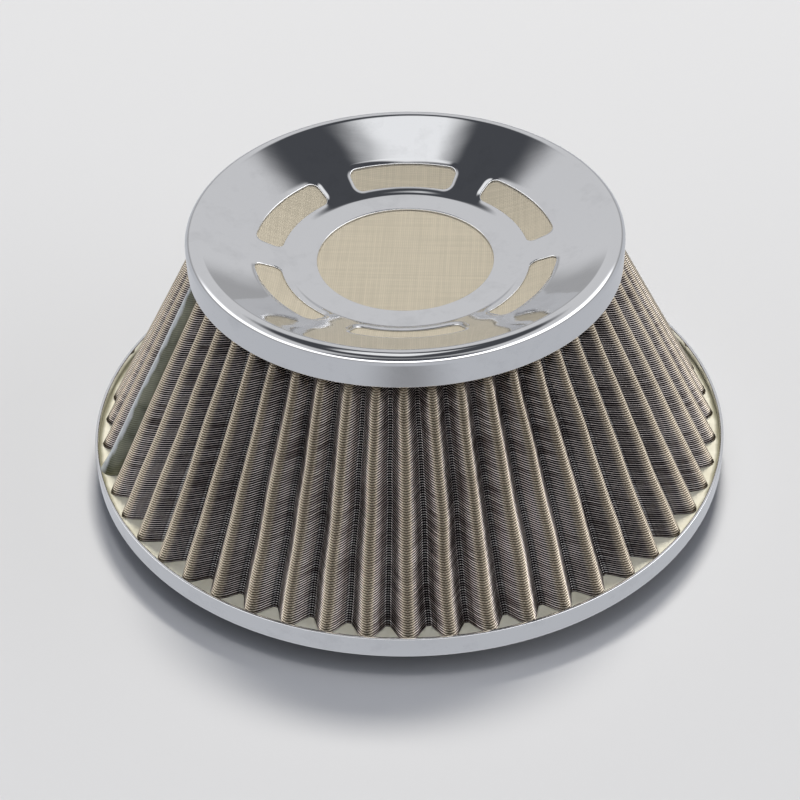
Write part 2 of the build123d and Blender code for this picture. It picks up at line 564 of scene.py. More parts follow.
@dataclass(frozen=True)
class SeamResin:
    """Clear epoxy run over the seam: wet-looking, grey-green, with faint weft and a painted highlight broken
    along the crest.
    """

    weft_pitch: float
    colour: str = "#A5A68C"
    deep_colour: str = "#55573F"
    crest_highlight_colour: str = "#F4F8F8"
    roughness: float = 0.12
    ior: float = 1.54
    cloud_size: float = 9 * MM
    weft_share: float = 0.09
    deep_range: tuple[float, float] = (0.3, 0.75)
    streak_size: float = 3.2 * MM
    streak_squeeze: float = 0.3
    crest_break: float = 0.28
    crest_range: tuple[float, float] = (0.17, 0.27)
    crest_share: float = 0.95
    ripple: float = 0.25 * MM

    def material(self) -> bpy.types.Material:
        """Build the material.

        Returns:
            The material.
        """
        material, tree = new_material("clear_epoxy_bead")
        weave = add_node(tree, "ShaderNodeAttribute", out="Vector", attribute_name="weave")
        _, up, root = add_node(tree, SEPARATE, weave, out=None)
        place = add_node(tree, COORDINATES, out="Object")

        # Cloudy depth, with the weft below it
        clouds = add_node(tree, NOISE, place, sockets={"Scale": 1 / self.cloud_size, "Detail": 3.0})
        turn = add_node(tree, MATH, up, math.tau / self.weft_pitch, operation="MULTIPLY")
        wave = add_node(tree, MATH, turn, operation="COSINE")
        weft = add_node(tree, MATH, wave, self.weft_share, operation="MULTIPLY")
        depth = add_node(tree, MATH, clouds, weft, operation="SUBTRACT")
        deep = add_node(tree, MAP_RANGE, depth, *self.deep_range, 0.0, 1.0)
        body = add_node(
            tree,
            MIX,
            deep,
            sockets={COLOUR_A: linear(self.colour), COLOUR_B: linear(self.deep_colour)},
            **OF_COLOURS,
        )

        # Painted highlight: pale streaks broken along the crest
        drawn = add_node(tree, MAPPING, place, sockets={"Scale": (1.0, 1.0, self.streak_squeeze)})
        streaks = add_node(tree, NOISE, drawn, sockets={"Scale": 1 / self.streak_size, "Detail": 4.0})
        uneven = add_node(tree, MATH, streaks, self.crest_break, root, operation="MULTIPLY_ADD")
        crest_highlight = add_node(tree, MAP_RANGE, uneven, *self.crest_range, self.crest_share, 0.0)
        colour = add_node(
            tree, MIX, crest_highlight, sockets={COLOUR_A: body, COLOUR_B: linear(self.crest_highlight_colour)}, **OF_COLOURS
        )
        bump = add_node(tree, BUMP, sockets={"Strength": 0.5, "Distance": self.ripple, "Height": streaks})
        surface = add_node(
            tree,
            PRINCIPLED,
            sockets={"Base Color": colour, "Roughness": self.roughness, "IOR": self.ior, "Normal": bump},
        )
        add_node(tree, "ShaderNodeOutputMaterial", surface)
        return material


# Mesh helpers

@dataclass(frozen=True)
class Corner:
    """A corner of a section, with the radius of its bend."""

    r: float
    z: float
    bend: float = 0.0

    @property
    def place(self) -> Vector:
        """The corner as a vector of radius and height."""
        return Vector((self.r, self.z))


def bent_path(corners: Sequence[Corner], closed: bool = False) -> list[Vector]:
    """Round the corners of a section with arcs.

    Args:
        corners: Corners in order.
        closed: Whether the last corner joins the first.

    Returns:
        Points of radius and height along the section.
    """
    points: list[Vector] = []
    last = len(corners) - 1
    for number, corner in enumerate(corners):
        here = corner.place
        if corner.bend == 0 or (not closed and number in (0, last)):
            points.append(here)
            continue
        before = (corners[number - 1].place - here).normalized()
        after = (corners[(number + 1) % len(corners)].place - here).normalized()
        turn = math.pi - before.angle(after)
        start = here + before * (corner.bend * math.tan(turn / 2))
        centre = here + (before + after).normalized() * (corner.bend / math.cos(turn / 2))
        sense = -math.copysign(1, before.cross(after))
        steps = max(2, math.ceil(turn / ARC_STEP))
        for step in range(steps + 1):
            points.append(centre + Matrix.Rotation(sense * turn * step / steps, 2) @ (start - centre))
    return points


def around(r: float, z: float, angle: float) -> Vector:
    """Place a point of a section at an angle round the axis."""
    return Vector((r * math.cos(angle), r * math.sin(angle), z))


class MeshDraft:
    """Rows of points that become a smooth mesh of quads."""

    def __init__(self) -> None:
        """Start with no points."""
        self.points: list[Vector] = []
        self.faces: list[tuple[int, ...]] = []

    def loft(
        self, rows: Sequence[Sequence[Vector]], closed: bool = False, round_again: bool = False
    ) -> None:
        """Join rows of points with quads.

        Args:
            rows: Rows with the same number of points.
            closed: Whether each row's last point joins its first.
            round_again: Whether the last row joins the first.
        """
        first = len(self.points)
        width = len(rows[0])
        for row in rows:
            self.points.extend(row)
        for row in range(len(rows) if round_again else len(rows) - 1):
            below = first + row * width
            above = first + (row + 1) % len(rows) * width
            for column in range(width if closed else width - 1):
                side = (column + 1) % width
                self.faces.append((below + column, below + side, above + side, above + column))

    def mesh(self, name: str) -> bpy.types.Mesh:
        """Make the mesh, with doubles merged, faces outwards and smooth shading.

        Args:
            name: Name of the mesh.

        Returns:
            The new mesh.
        """
        mesh = bpy.data.meshes.new(name)
        mesh.from_pydata(self.points, [], self.faces)
        tidy_mesh(mesh)
        return mesh


def tidy_mesh(mesh: bpy.types.Mesh) -> None:
    """Merge a mesh's doubles, drop faces with no area, turn faces outwards and shade it smooth.

    Args:
        mesh: Mesh to change.
    """
    work = bmesh.new()
    work.from_mesh(mesh)
    bmesh.ops.remove_doubles(work, verts=work.verts, dist=MERGE_DISTANCE)
    bmesh.ops.dissolve_degenerate(work, edges=work.edges, dist=MERGE_DISTANCE)
    bmesh.ops.recalc_face_normals(work, faces=work.faces)
    for face in work.faces:
        face.smooth = True
    work.to_mesh(mesh)
    work.free()


def lathe(name: str, section: Sequence[Vector], closed: bool = True) -> bpy.types.Mesh:
    """Turn a section round the axis.

    Args:
        name: Name of the mesh.
        section: Points of radius and height.
        closed: Whether the section's last point joins its first.

    Returns:
        The turned mesh.
    """
    draft = MeshDraft()
    turns = [math.tau * segment / LATHE_SEGMENTS for segment in range(LATHE_SEGMENTS)]
    draft.loft([[around(*point, turn) for point in section] for turn in turns], closed, round_again=True)
    return draft.mesh(name)


def new_piece(
    name: str, mesh: bpy.types.Mesh, material: bpy.types.Material | None = None
) -> bpy.types.Object:
    """Link a mesh into the scene as a piece at the origin.

    Args:
        name: Name of the piece.
        mesh: Its mesh.
        material: Its finish, or None where the mesh has one.

    Returns:
        The new object.
    """
    piece = bpy.data.objects.new(name, mesh)
    bpy.context.scene.collection.objects.link(piece)
    if material is not None:
        mesh.materials.clear()
        mesh.materials.append(material)
    return piece


def apply_modifiers(piece: bpy.types.Object) -> None:
    """Make what a piece's modifiers give its own plain mesh, and remove them.

    Args:
        piece: Object with modifiers.
    """
    bpy.context.view_layer.update()
    shaped = piece.evaluated_get(bpy.context.evaluated_depsgraph_get())
    mesh = bpy.data.meshes.new_from_object(shaped)
    piece.modifiers.clear()
    piece.data = mesh


def even_normals(piece: bpy.types.Object) -> None:
    """Let wide faces lead the shading, so that reflections stay straight up to each bend."""
    piece.modifiers.new("even_normals", "WEIGHTED_NORMAL").weight = WIDE_FACE_WEIGHT
    apply_modifiers(piece)


def shape_by_nodes(piece: bpy.types.Object, tree: bpy.types.NodeTree, sizes: Mapping[str, object]) -> None:
    """Shape a piece with a Geometry Nodes tree and make the result its plain mesh.

    Args:
        piece: Object that gets the shape.
        tree: Geometry Nodes tree.
        sizes: Value of each named input of the tree.
    """
    modifier = piece.modifiers.new(tree.name, "NODES")
    modifier.node_group = tree
    for item in tree.interface.items_tree:
        if item.in_out == "INPUT" and item.name in sizes:
            modifier[item.identifier] = sizes[item.name]
    apply_modifiers(piece)


def settle(piece: bpy.types.Object, slot: Slot, *nodes: CadNode) -> None:
    """Ride a piece on the body, hide the solids that it stands for, and log its face count.

    Args:
        piece: Finished piece.
        slot: Its material slot; not used.
        nodes: Solids that it stands for.
    """
    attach(piece, BODY)
    if nodes:
        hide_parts(*[node.value for node in nodes])
    LOG.info("%s: %d faces", piece.name, len(piece.data.polygons))


# Geometry Nodes trees

def new_geometry_tree(name: str, inputs: Mapping[str, str]) -> bpy.types.NodeTree:
    """Make a Geometry Nodes tree with named inputs.

    Args:
        name: Name of the tree.
        inputs: Kind of socket by input name.

    Returns:
        The tree, with a geometry output.
    """
    tree = bpy.data.node_groups.new(name, "GeometryNodeTree")
    tree.interface.new_socket(name="Geometry", in_out="INPUT", socket_type="NodeSocketGeometry")
    for input_name, kind in inputs.items():
        tree.interface.new_socket(name=input_name, in_out="INPUT", socket_type=kind)
    tree.interface.new_socket(name="Geometry", in_out="OUTPUT", socket_type="NodeSocketGeometry")
    return tree


def end_geometry_tree(
    tree: bpy.types.NodeTree, geometry: bpy.types.NodeSocket, material: bpy.types.NodeSocket
) -> None:
    """Close a Geometry Nodes tree: realise, merge, shade smooth and set the material.

    Args:
        tree: Tree to close.
        geometry: What the tree has made.
        material: Input that holds the finish.
    """
    realised = add_node(tree, "GeometryNodeRealizeInstances", geometry)
    merged = add_node(tree, "GeometryNodeMergeByDistance", realised, sockets={"Distance": MERGE_DISTANCE})
    smooth = add_node(tree, "GeometryNodeSetShadeSmooth", merged)
    dressed = add_node(tree, "GeometryNodeSetMaterial", smooth, sockets={"Material": material})
    add_node(tree, "NodeGroupOutput", dressed)


def ring_pattern_tree() -> bpy.types.NodeTree:
    """Build the tree that repeats a sector round the axis.

    Returns:
        The tree.
    """
    tree = new_geometry_tree("ring_pattern", {"Count": "NodeSocketInt", "Material": "NodeSocketMaterial"})
    given = add_node(tree, "NodeGroupInput", out=None)
    points = add_node(tree, "GeometryNodePoints", given["Count"])
    step = add_node(tree, MATH, math.tau, given["Count"], operation="DIVIDE")
    turn = add_node(tree, MATH, add_node(tree, "GeometryNodeInputIndex"), step, operation="MULTIPLY")
    rotation = add_node(tree, COMBINE, 0.0, 0.0, turn)
    copies = add_node(
        tree,
        "GeometryNodeInstanceOnPoints",
        points,
        sockets={"Instance": given["Geometry"], "Rotation": rotation},
    )
    end_geometry_tree(tree, copies, given["Material"])
    return tree


@dataclass(frozen=True)
class FoldedStrip:
    """Geometry Nodes tree that folds a strip into pleats round a cone.

    Rows run up the outer face, with a ridge on every other row for the weft, and come back down the inner
    face. The last row closes the sheet at its foot.
    """

    wander_scale: float = 4.5
    wander_drift: float = 0.6
    foot_fade: float = 16.0
    counts: tuple[str, ...] = ("Pleats", "Columns", "Rows", "Back Rows")
    lengths: tuple[str, ...] = (
        "Foot Crest Radius",
        "Head Crest Radius",
        "Foot Level",
        "Head Level",
        "Foot Depth",
        "Head Depth",
        "Outer Offset",
        "Inner Offset",
        "Weft Height",
        "Foot Swell",
        "Fold Length",
        "Slope Length",
    )
    angles_and_shares: tuple[str, ...] = (
        "First Crest",
        "Start",
        "End",
        "Crest Share",
        "Root Share",
        "Wander",
        "Feather",
        "Edge Share",
        "Crisp Weft",
        "Seed",
    )

    def tree(self) -> bpy.types.NodeTree:
        """Build the tree.

        Returns:
            The tree.
        """
        inputs = {name: "NodeSocketInt" for name in self.counts}
        inputs.update({name: "NodeSocketFloat" for name in self.lengths + self.angles_and_shares})
        inputs["Material"] = "NodeSocketMaterial"
        tree = new_geometry_tree("folded_strip", inputs)
        given = add_node(tree, "NodeGroupInput", out=None)

        # Row and column of each point
        front_and_back = add_node(tree, MATH, given["Rows"], given["Back Rows"], operation="ADD")
        all_rows = add_node(tree, MATH, front_and_back, 1.0, operation="ADD")
        all_columns = add_node(tree, MATH, given["Columns"], 1.0, operation="ADD")
        grid = add_node(
            tree, "GeometryNodeMeshGrid", sockets={"Vertices X": all_columns, "Vertices Y": all_rows}
        )
        index = add_node(tree, "GeometryNodeInputIndex")
        columns_before = add_node(tree, MATH, index, all_rows, operation="DIVIDE")
        column = add_node(tree, MATH, columns_before, operation="FLOOR")
        points_before = add_node(tree, MATH, column, all_rows, operation="MULTIPLY")
        row = add_node(tree, MATH, index, points_before, operation="SUBTRACT")

        # Share of the way up the slope, and round the strip
        front_end = add_node(tree, MATH, given["Rows"], 1.0, operation="SUBTRACT")
        front_share = add_node(tree, MATH, row, front_end, operation="DIVIDE")
        back_row = add_node(tree, MATH, row, given["Rows"], operation="SUBTRACT")
        back_end = add_node(tree, MATH, given["Back Rows"], 1.0, operation="SUBTRACT")
        back_way = add_node(tree, MATH, back_row, back_end, operation="DIVIDE")
        back_down = add_node(tree, MATH, back_way, 1.0, operation="MINIMUM")
        back_share = add_node(tree, MATH, 1.0, back_down, operation="SUBTRACT")
        past_front = add_node(tree, MATH, row, front_end, operation="GREATER_THAN")
        last_back = add_node(tree, MATH, front_and_back, 0.5, operation="SUBTRACT")
        closing = add_node(tree, MATH, row, last_back, operation="GREATER_THAN")
        on_back = add_node(tree, MATH, past_front, closing, operation="SUBTRACT")
        share = add_node(tree, MIX, past_front, sockets={NUMBER_A: front_share, NUMBER_B: back_share})
        column_share = add_node(tree, MATH, column, given["Columns"], operation="DIVIDE")
        span = add_node(tree, MATH, given["End"], given["Start"], operation="SUBTRACT")
        even_angle = add_node(tree, MATH, column_share, span, given["Start"], operation="MULTIPLY_ADD")

        # The fold at this point, and how far the point stands off its face
        phase, wave, radius, face = self.fold(tree, given, share, even_angle)
        offset = self.stand_off(tree, given, row, share, column_share, on_back)

        # Place in space: folds wander a little, as hand-set pleats do
        drift = add_node(tree, MATH, share, self.wander_drift, given["Seed"], operation="MULTIPLY_ADD")
        spot = add_node(
            tree,
            COMBINE,
            add_node(tree, MATH, even_angle, operation="COSINE"),
            add_node(tree, MATH, even_angle, operation="SINE"),
            drift,
        )
        wander = add_node(tree, NOISE, spot, sockets={"Scale": self.wander_scale, "Detail": 1.0})
        centred = add_node(tree, MATH, wander, 0.5, operation="SUBTRACT")
        angle = add_node(tree, MATH, centred, given["Wander"], even_angle, operation="MULTIPLY_ADD")
        cosine = add_node(tree, MATH, angle, operation="COSINE")
        sine = add_node(tree, MATH, angle, operation="SINE")
        radial = add_node(tree, MATH, offset, face["X"], radius, operation="MULTIPLY_ADD")
        aside = add_node(tree, MATH, offset, face["Y"], operation="MULTIPLY")
        x_out = add_node(tree, MATH, radial, cosine, operation="MULTIPLY")
        x_aside = add_node(tree, MATH, aside, sine, operation="MULTIPLY")
        x = add_node(tree, MATH, x_out, x_aside, operation="SUBTRACT")
        y_aside = add_node(tree, MATH, aside, cosine, operation="MULTIPLY")
        y = add_node(tree, MATH, radial, sine, y_aside, operation="MULTIPLY_ADD")
        levels = {NUMBER_A: given["Foot Level"], NUMBER_B: given["Head Level"]}
        z = add_node(tree, MIX, share, sockets=levels)
        place = add_node(tree, COMBINE, x, y, z)
        folded = add_node(tree, "GeometryNodeSetPosition", grid, sockets={"Position": place})

        # The weft's ridges and grooves stay crisp: the two ends of an edge along a row are many points apart
        ends = add_node(tree, "GeometryNodeInputMeshEdgeVertices", out=None)
        step = add_node(tree, MATH, ends[0], ends[1], operation="SUBTRACT")
        points_apart = add_node(tree, MATH, step, operation="ABSOLUTE")
        along_row = add_node(tree, MATH, points_apart, 1.5, operation="GREATER_THAN")
        crisp = add_node(tree, MATH, along_row, given["Crisp Weft"], operation="MULTIPLY")
        creased = add_node(tree, "GeometryNodeSetShadeSmooth", folded, crisp, False, domain="EDGE")

        # Place on the flat strip, for the weave, and share of the way from crest to root
        folds = add_node(tree, MATH, phase, math.tau, operation="DIVIDE")
        along = add_node(tree, MATH, folds, given["Fold Length"], operation="MULTIPLY")
        up = add_node(tree, MATH, share, given["Slope Length"], operation="MULTIPLY")
        flat = add_node(tree, COMBINE, along, up, wave)
        woven = add_node(
            tree,
            "GeometryNodeStoreNamedAttribute",
            creased,
            sockets={"Name": "weave", "Value": flat},
            data_type="FLOAT_VECTOR",
            domain="POINT",
        )
        end_geometry_tree(tree, woven, given["Material"])
        return tree

    def fold(
        self,
        tree: bpy.types.NodeTree,
        given: bpy.types.bpy_prop_collection,
        share: bpy.types.NodeSocket,
        even_angle: bpy.types.NodeSocket,
    ) -> tuple[
        bpy.types.NodeSocket, bpy.types.NodeSocket, bpy.types.NodeSocket, bpy.types.bpy_prop_collection
    ]:
        """Fold the strip: it falls evenly down its flanks, and eases over its crests and roots.

        Args:
            tree: Tree that gets the nodes.
            given: Inputs of the tree.
            share: Share of the way up the slope.
            even_angle: Angle round the axis.

        Returns:
            Phase of the fold, share of the way from crest to root, radius, and the parts of the face's
            outward direction: X away from the axis and Y round it.
        """
        from_crest = add_node(tree, MATH, even_angle, given["First Crest"], operation="SUBTRACT")
        phase = add_node(tree, MATH, from_crest, given["Pleats"], operation="MULTIPLY")
        turn = add_node(tree, MATH, add_node(tree, MATH, phase, operation="COSINE"), operation="ARCCOSINE")
        to_root = add_node(tree, MATH, turn, math.pi, operation="DIVIDE")
        from_root = add_node(tree, MATH, 1.0, to_root, operation="SUBTRACT")

        # What the round crest and root take from the flank's even fall
        eases = []
        halves = []
        rates = []
        for way, round_share in ((to_root, given["Crest Share"]), (from_root, given["Root Share"])):
            short = add_node(tree, MATH, round_share, way, operation="SUBTRACT", use_clamp=True)
            halves.append(add_node(tree, MATH, round_share, 0.5, operation="MULTIPLY"))
            squared = add_node(tree, MATH, short, short, operation="MULTIPLY")
            twice = add_node(tree, MATH, round_share, 2.0, operation="MULTIPLY")
            eases.append(add_node(tree, MATH, squared, twice, operation="DIVIDE"))
            rates.append(add_node(tree, MATH, way, round_share, operation="DIVIDE", use_clamp=True))
        rounded = add_node(tree, MATH, *halves, operation="ADD")
        whole = add_node(tree, MATH, 1.0, rounded, operation="SUBTRACT")
        straight = add_node(tree, MATH, to_root, halves[0], operation="SUBTRACT")
        eased = add_node(tree, MATH, *eases, operation="SUBTRACT")
        fallen = add_node(tree, MATH, straight, eased, operation="ADD")
        wave = add_node(tree, MATH, fallen, whole, operation="DIVIDE")
        crest_ends = {NUMBER_A: given["Foot Crest Radius"], NUMBER_B: given["Head Crest Radius"]}
        crest = add_node(tree, MIX, share, sockets=crest_ends)
        depth_ends = {NUMBER_A: given["Foot Depth"], NUMBER_B: given["Head Depth"]}
        depth = add_node(tree, MIX, share, sockets=depth_ends)
        fall = add_node(tree, MATH, depth, wave, operation="MULTIPLY")
        radius = add_node(tree, MATH, crest, fall, operation="SUBTRACT")

        # Outward direction of the fold's face
        sense = add_node(tree, MATH, add_node(tree, MATH, phase, operation="SINE"), operation="SIGN")
        rate_share = add_node(tree, MATH, *rates, operation="MULTIPLY")
        steep = add_node(tree, MATH, rate_share, whole, operation="DIVIDE")
        signed = add_node(tree, MATH, steep, sense, operation="MULTIPLY")
        flank_rate = add_node(tree, MATH, signed, math.pi, operation="DIVIDE")
        fold_rate = add_node(tree, MATH, depth, given["Pleats"], operation="MULTIPLY")
        rate = add_node(tree, MATH, flank_rate, fold_rate, operation="MULTIPLY")
        square = add_node(tree, COMBINE, radius, rate, 0.0)
        facing = add_node(tree, VECTOR_MATH, square, operation="NORMALIZE")
        return phase, wave, radius, add_node(tree, SEPARATE, facing, out=None)

    def stand_off(
        self,
        tree: bpy.types.NodeTree,
        given: bpy.types.bpy_prop_collection,
        row: bpy.types.NodeSocket,
        share: bpy.types.NodeSocket,
        column_share: bpy.types.NodeSocket,
        on_back: bpy.types.NodeSocket,
    ) -> bpy.types.NodeSocket:
        """Work out how far a point stands off the fold's face.

        Args:
            tree: Tree that gets the nodes.
            given: Inputs of the tree.
            row: Number of the point's row.
            share: Share of the way up the slope.
            column_share: Share of the way round the strip.
            on_back: 1 on the inner face, and 0 elsewhere.

        Returns:
            The distance, with ridges of weft, a swollen foot and feathered sides.
        """
        odd_row = add_node(tree, MATH, row, 2.0, operation="MODULO")
        ridge = add_node(tree, MATH, 0.5, odd_row, operation="SUBTRACT")
        outer_face = given["Outer Offset"]
        outer = add_node(tree, MATH, ridge, given["Weft Height"], outer_face, operation="MULTIPLY_ADD")
        off_foot = add_node(tree, MATH, share, self.foot_fade, operation="MULTIPLY")
        off_foot_squared = add_node(tree, MATH, off_foot, 2.0, operation="POWER")
        fading = add_node(tree, MATH, off_foot_squared, -1.0, operation="MULTIPLY")
        at_foot = add_node(tree, MATH, fading, operation="EXPONENT")
        swollen = add_node(tree, MATH, at_foot, given["Foot Swell"], outer, operation="MULTIPLY_ADD")
        across = add_node(tree, MATH, column_share, 2.0, -1.0, operation="MULTIPLY_ADD")
        off_middle = add_node(tree, MATH, across, operation="ABSOLUTE")
        from_edge = add_node(tree, MATH, 1.0, off_middle, operation="SUBTRACT")
        feathered = add_node(tree, MATH, from_edge, given["Feather"], operation="DIVIDE", use_clamp=True)
        rounded = add_node(tree, MATH, feathered, 0.5, operation="POWER")
        stand = add_node(tree, MATH, rounded, given["Edge Share"], operation="MAXIMUM")
        inner_face = given["Inner Offset"]
        outer_stand = add_node(tree, MIX, stand, sockets={NUMBER_A: inner_face, NUMBER_B: swollen})
        return add_node(tree, MIX, on_back, sockets={NUMBER_A: outer_stand, NUMBER_B: inner_face})


# Sub-assemblies

@dataclass
class BasePan:
    """Pressed base: an upturned rim, a flat pan and an inlet turned down into a short collar."""

    base_r: float
    rim_z: float
    sheet: float = 1.0 * MM
    rim_h: float = 8.0 * MM
    rim_bend: float = 2.0 * MM
    inlet_r: float = 38.0 * MM
    inlet_bend: float = 3.0 * MM
    edge_round: float = 0.4 * MM

    @property
    def inside_r(self) -> float:
        """Radius inside the rim."""
        return self.base_r - self.sheet

    @property
    def floor_z(self) -> float:
        """Height of the pan's upper face."""
        return self.rim_z - self.rim_h + self.sheet

    def build(self, chrome: bpy.types.Material) -> None:
        """Turn the pan and dress it.

        Args:
            chrome: Finish of the sheet.
        """
        under_z = self.floor_z - self.sheet
        collar_r = self.inlet_r + self.sheet
        section = bent_path(
            [
                Corner(self.base_r, self.rim_z, self.edge_round),
                Corner(self.base_r, under_z, self.rim_bend),
                Corner(collar_r, under_z, self.inlet_bend - self.sheet),
                Corner(collar_r, 0.0, self.edge_round),
                Corner(self.inlet_r, 0.0, self.edge_round),
                Corner(self.inlet_r, self.floor_z, self.inlet_bend),
                Corner(self.inside_r, self.floor_z, self.rim_bend - self.sheet),
                Corner(self.inside_r, self.rim_z, self.edge_round),
            ],
            closed=True,
        )
        pan = new_piece("chromed_base_pan", lathe("chromed_base_pan", section), chrome)
        even_normals(pan)
        settle(pan, Slot.CHROME, CadNode.BASE_PAN)


@dataclass
class BaseResin:
    """Resin ring that holds the pleats' feet, with a surface that creeps up the rim and dips a little."""

    outer_r: float
    floor_z: float
    level: float
    inner_r: float = 85 * MM
    creep: float = 0.3 * MM
    creep_w: float = 0.6 * MM
    dip: float = 0.25 * MM
    dip_size: float = 9 * MM
    rings: int = 14

    def build(self, resin: bpy.types.Material) -> None:
        """Cast the ring and dress it.

        Args:
            resin: Finish of the ring.
        """
        section = [Vector((self.outer_r, self.floor_z)), Vector((self.inner_r, self.floor_z))]
        width = self.outer_r - self.inner_r
        for ring in range(self.rings + 1):
            share = math.sin(math.pi / 2 * ring / self.rings)
            r = self.inner_r + width * share
            rise = self.creep * math.exp((r - self.outer_r) / self.creep_w)
            section.append(Vector((r, self.level + rise)))
        mesh = lathe("base_casting", section)
        for vertex in mesh.vertices:
            if vertex.co.z > self.level - self.dip:
                vertex.co.z += self.dip * noise.noise(vertex.co / self.dip_size)
        casting = new_piece("base_casting", mesh, resin)
        even_normals(casting)
        settle(casting, Slot.RESIN, CadNode.BASE_RESIN)


@dataclass
class PleatedCone:
    """Folded strip of woven wire, closed to a cone, with a bead of resin over its seam."""

    foot_z: float
    head_z: float
    foot_crest_r: float = 97.9 * MM
    head_crest_r: float = 63.2 * MM
    pleats: int = 51
    first_crest: float = math.radians(-91.2)
    seam_crest: int = 40
    foot_depth: float = 6.2 * MM
    head_depth: float = 4.5 * MM
    crest_share: float = 0.45
    root_share: float = 0.25
    wander: float = math.radians(1.3)
    seed: float = 3.0
    sheet: float = 0.7 * MM
    bury: float = 1.0 * MM
    wefts: int = 104
    weft_height: float = 0.26 * MM
    columns_per_pleat: int = 9
    back_rows: int = 5
    fold_length: float = 18 * MM
    warps_per_fold: int = 14
    bead_film: float = 0.4 * MM
    bead_half_width: float = 0.36
    bead_feather: float = 0.35
    bead_columns: int = 28
    bead_rows: int = 61
    bead_foot_swell: float = 0.8 * MM

    @property
    def lean(self) -> float:
        """How far the crests come in for each unit of height."""
        return (self.foot_crest_r - self.head_crest_r) / (self.head_z - self.foot_z)

    @property
    def slope_length(self) -> float:
        """Length of the strip up its slope, with its buried ends."""
        return (self.head_z - self.foot_z + 2 * self.bury) * math.hypot(1, self.lean)

    @property
    def buried_length(self) -> float:
        """Length of the strip up its slope that lies in the base resin."""
        return self.bury * math.hypot(1, self.lean)

    @property
    def warp_pitch(self) -> float:
        """Spacing of the warp along the strip."""
        return self.fold_length / self.warps_per_fold

    @property
    def weft_pitch(self) -> float:
        """Spacing of the weft up the slope."""
        return self.slope_length / self.wefts

    def sizes(self) -> dict[str, object]:
        """Gather the inputs of the folding tree that the strip and the bead share.

        Returns:
            Value by input name.
        """
        return {
            "Pleats": self.pleats,
            "Back Rows": self.back_rows,
            "Foot Crest Radius": self.foot_crest_r + self.lean * self.bury,
            "Head Crest Radius": self.head_crest_r - self.lean * self.bury,
            "Foot Level": self.foot_z - self.bury,
            "Head Level": self.head_z + self.bury,
            "Foot Depth": self.foot_depth,
            "Head Depth": self.head_depth,
            "First Crest": self.first_crest,
            "Crest Share": self.crest_share,
            "Root Share": self.root_share,
            "Wander": self.wander,
            "Seed": self.seed,
            "Fold Length": self.fold_length,
            "Slope Length": self.slope_length,
        }

    def build(self, wire: bpy.types.Material, seam: bpy.types.Material) -> None:
        """Fold the strip and lay the bead.

        Args:
            wire: Finish of the strip.
            seam: Finish of the bead.
        """
        tree = FoldedStrip().tree()
        pitch = math.tau / self.pleats
        seam_angle = self.first_crest + self.seam_crest * pitch
        strip = new_piece("pleated_wire_mesh", bpy.data.meshes.new("pleated_wire_mesh"))
        strip_sizes = {
            "Columns": self.pleats * self.columns_per_pleat,
            "Rows": 2 * self.wefts + 1,
            "Start": seam_angle,
            "End": seam_angle + math.tau,
            "Outer Offset": 0.0,
            "Inner Offset": -self.sheet,
            "Weft Height": self.weft_height,
            "Foot Swell": 0.0,
            "Feather": 1.0,
            "Edge Share": 1.0,
            "Crisp Weft": 1.0,
            "Material": wire,
        }
        shape_by_nodes(strip, tree, self.sizes() | strip_sizes)
        settle(strip, Slot.WIRE_MESH, CadNode.PLEATED_MESH)

        bead = new_piece("seam_bead_of_resin", bpy.data.meshes.new("seam_bead_of_resin"))
        bead_sizes = {
            "Columns": self.bead_columns,
            "Rows": self.bead_rows,
            "Start": seam_angle - self.bead_half_width * pitch,
            "End": seam_angle + self.bead_half_width * pitch,
            "Outer Offset": self.bead_film,
            "Inner Offset": -self.weft_height,
            "Weft Height": 0.0,
            "Foot Swell": self.bead_foot_swell,
            "Feather": self.bead_feather,
            "Edge Share": 0.0,
            "Crisp Weft": 0.0,
            "Material": seam,
        }
        shape_by_nodes(bead, tree, self.sizes() | bead_sizes)
        tidy_mesh(bead.data)
        settle(bead, Slot.SEAM_RESIN, CadNode.SEAM_BEAD)


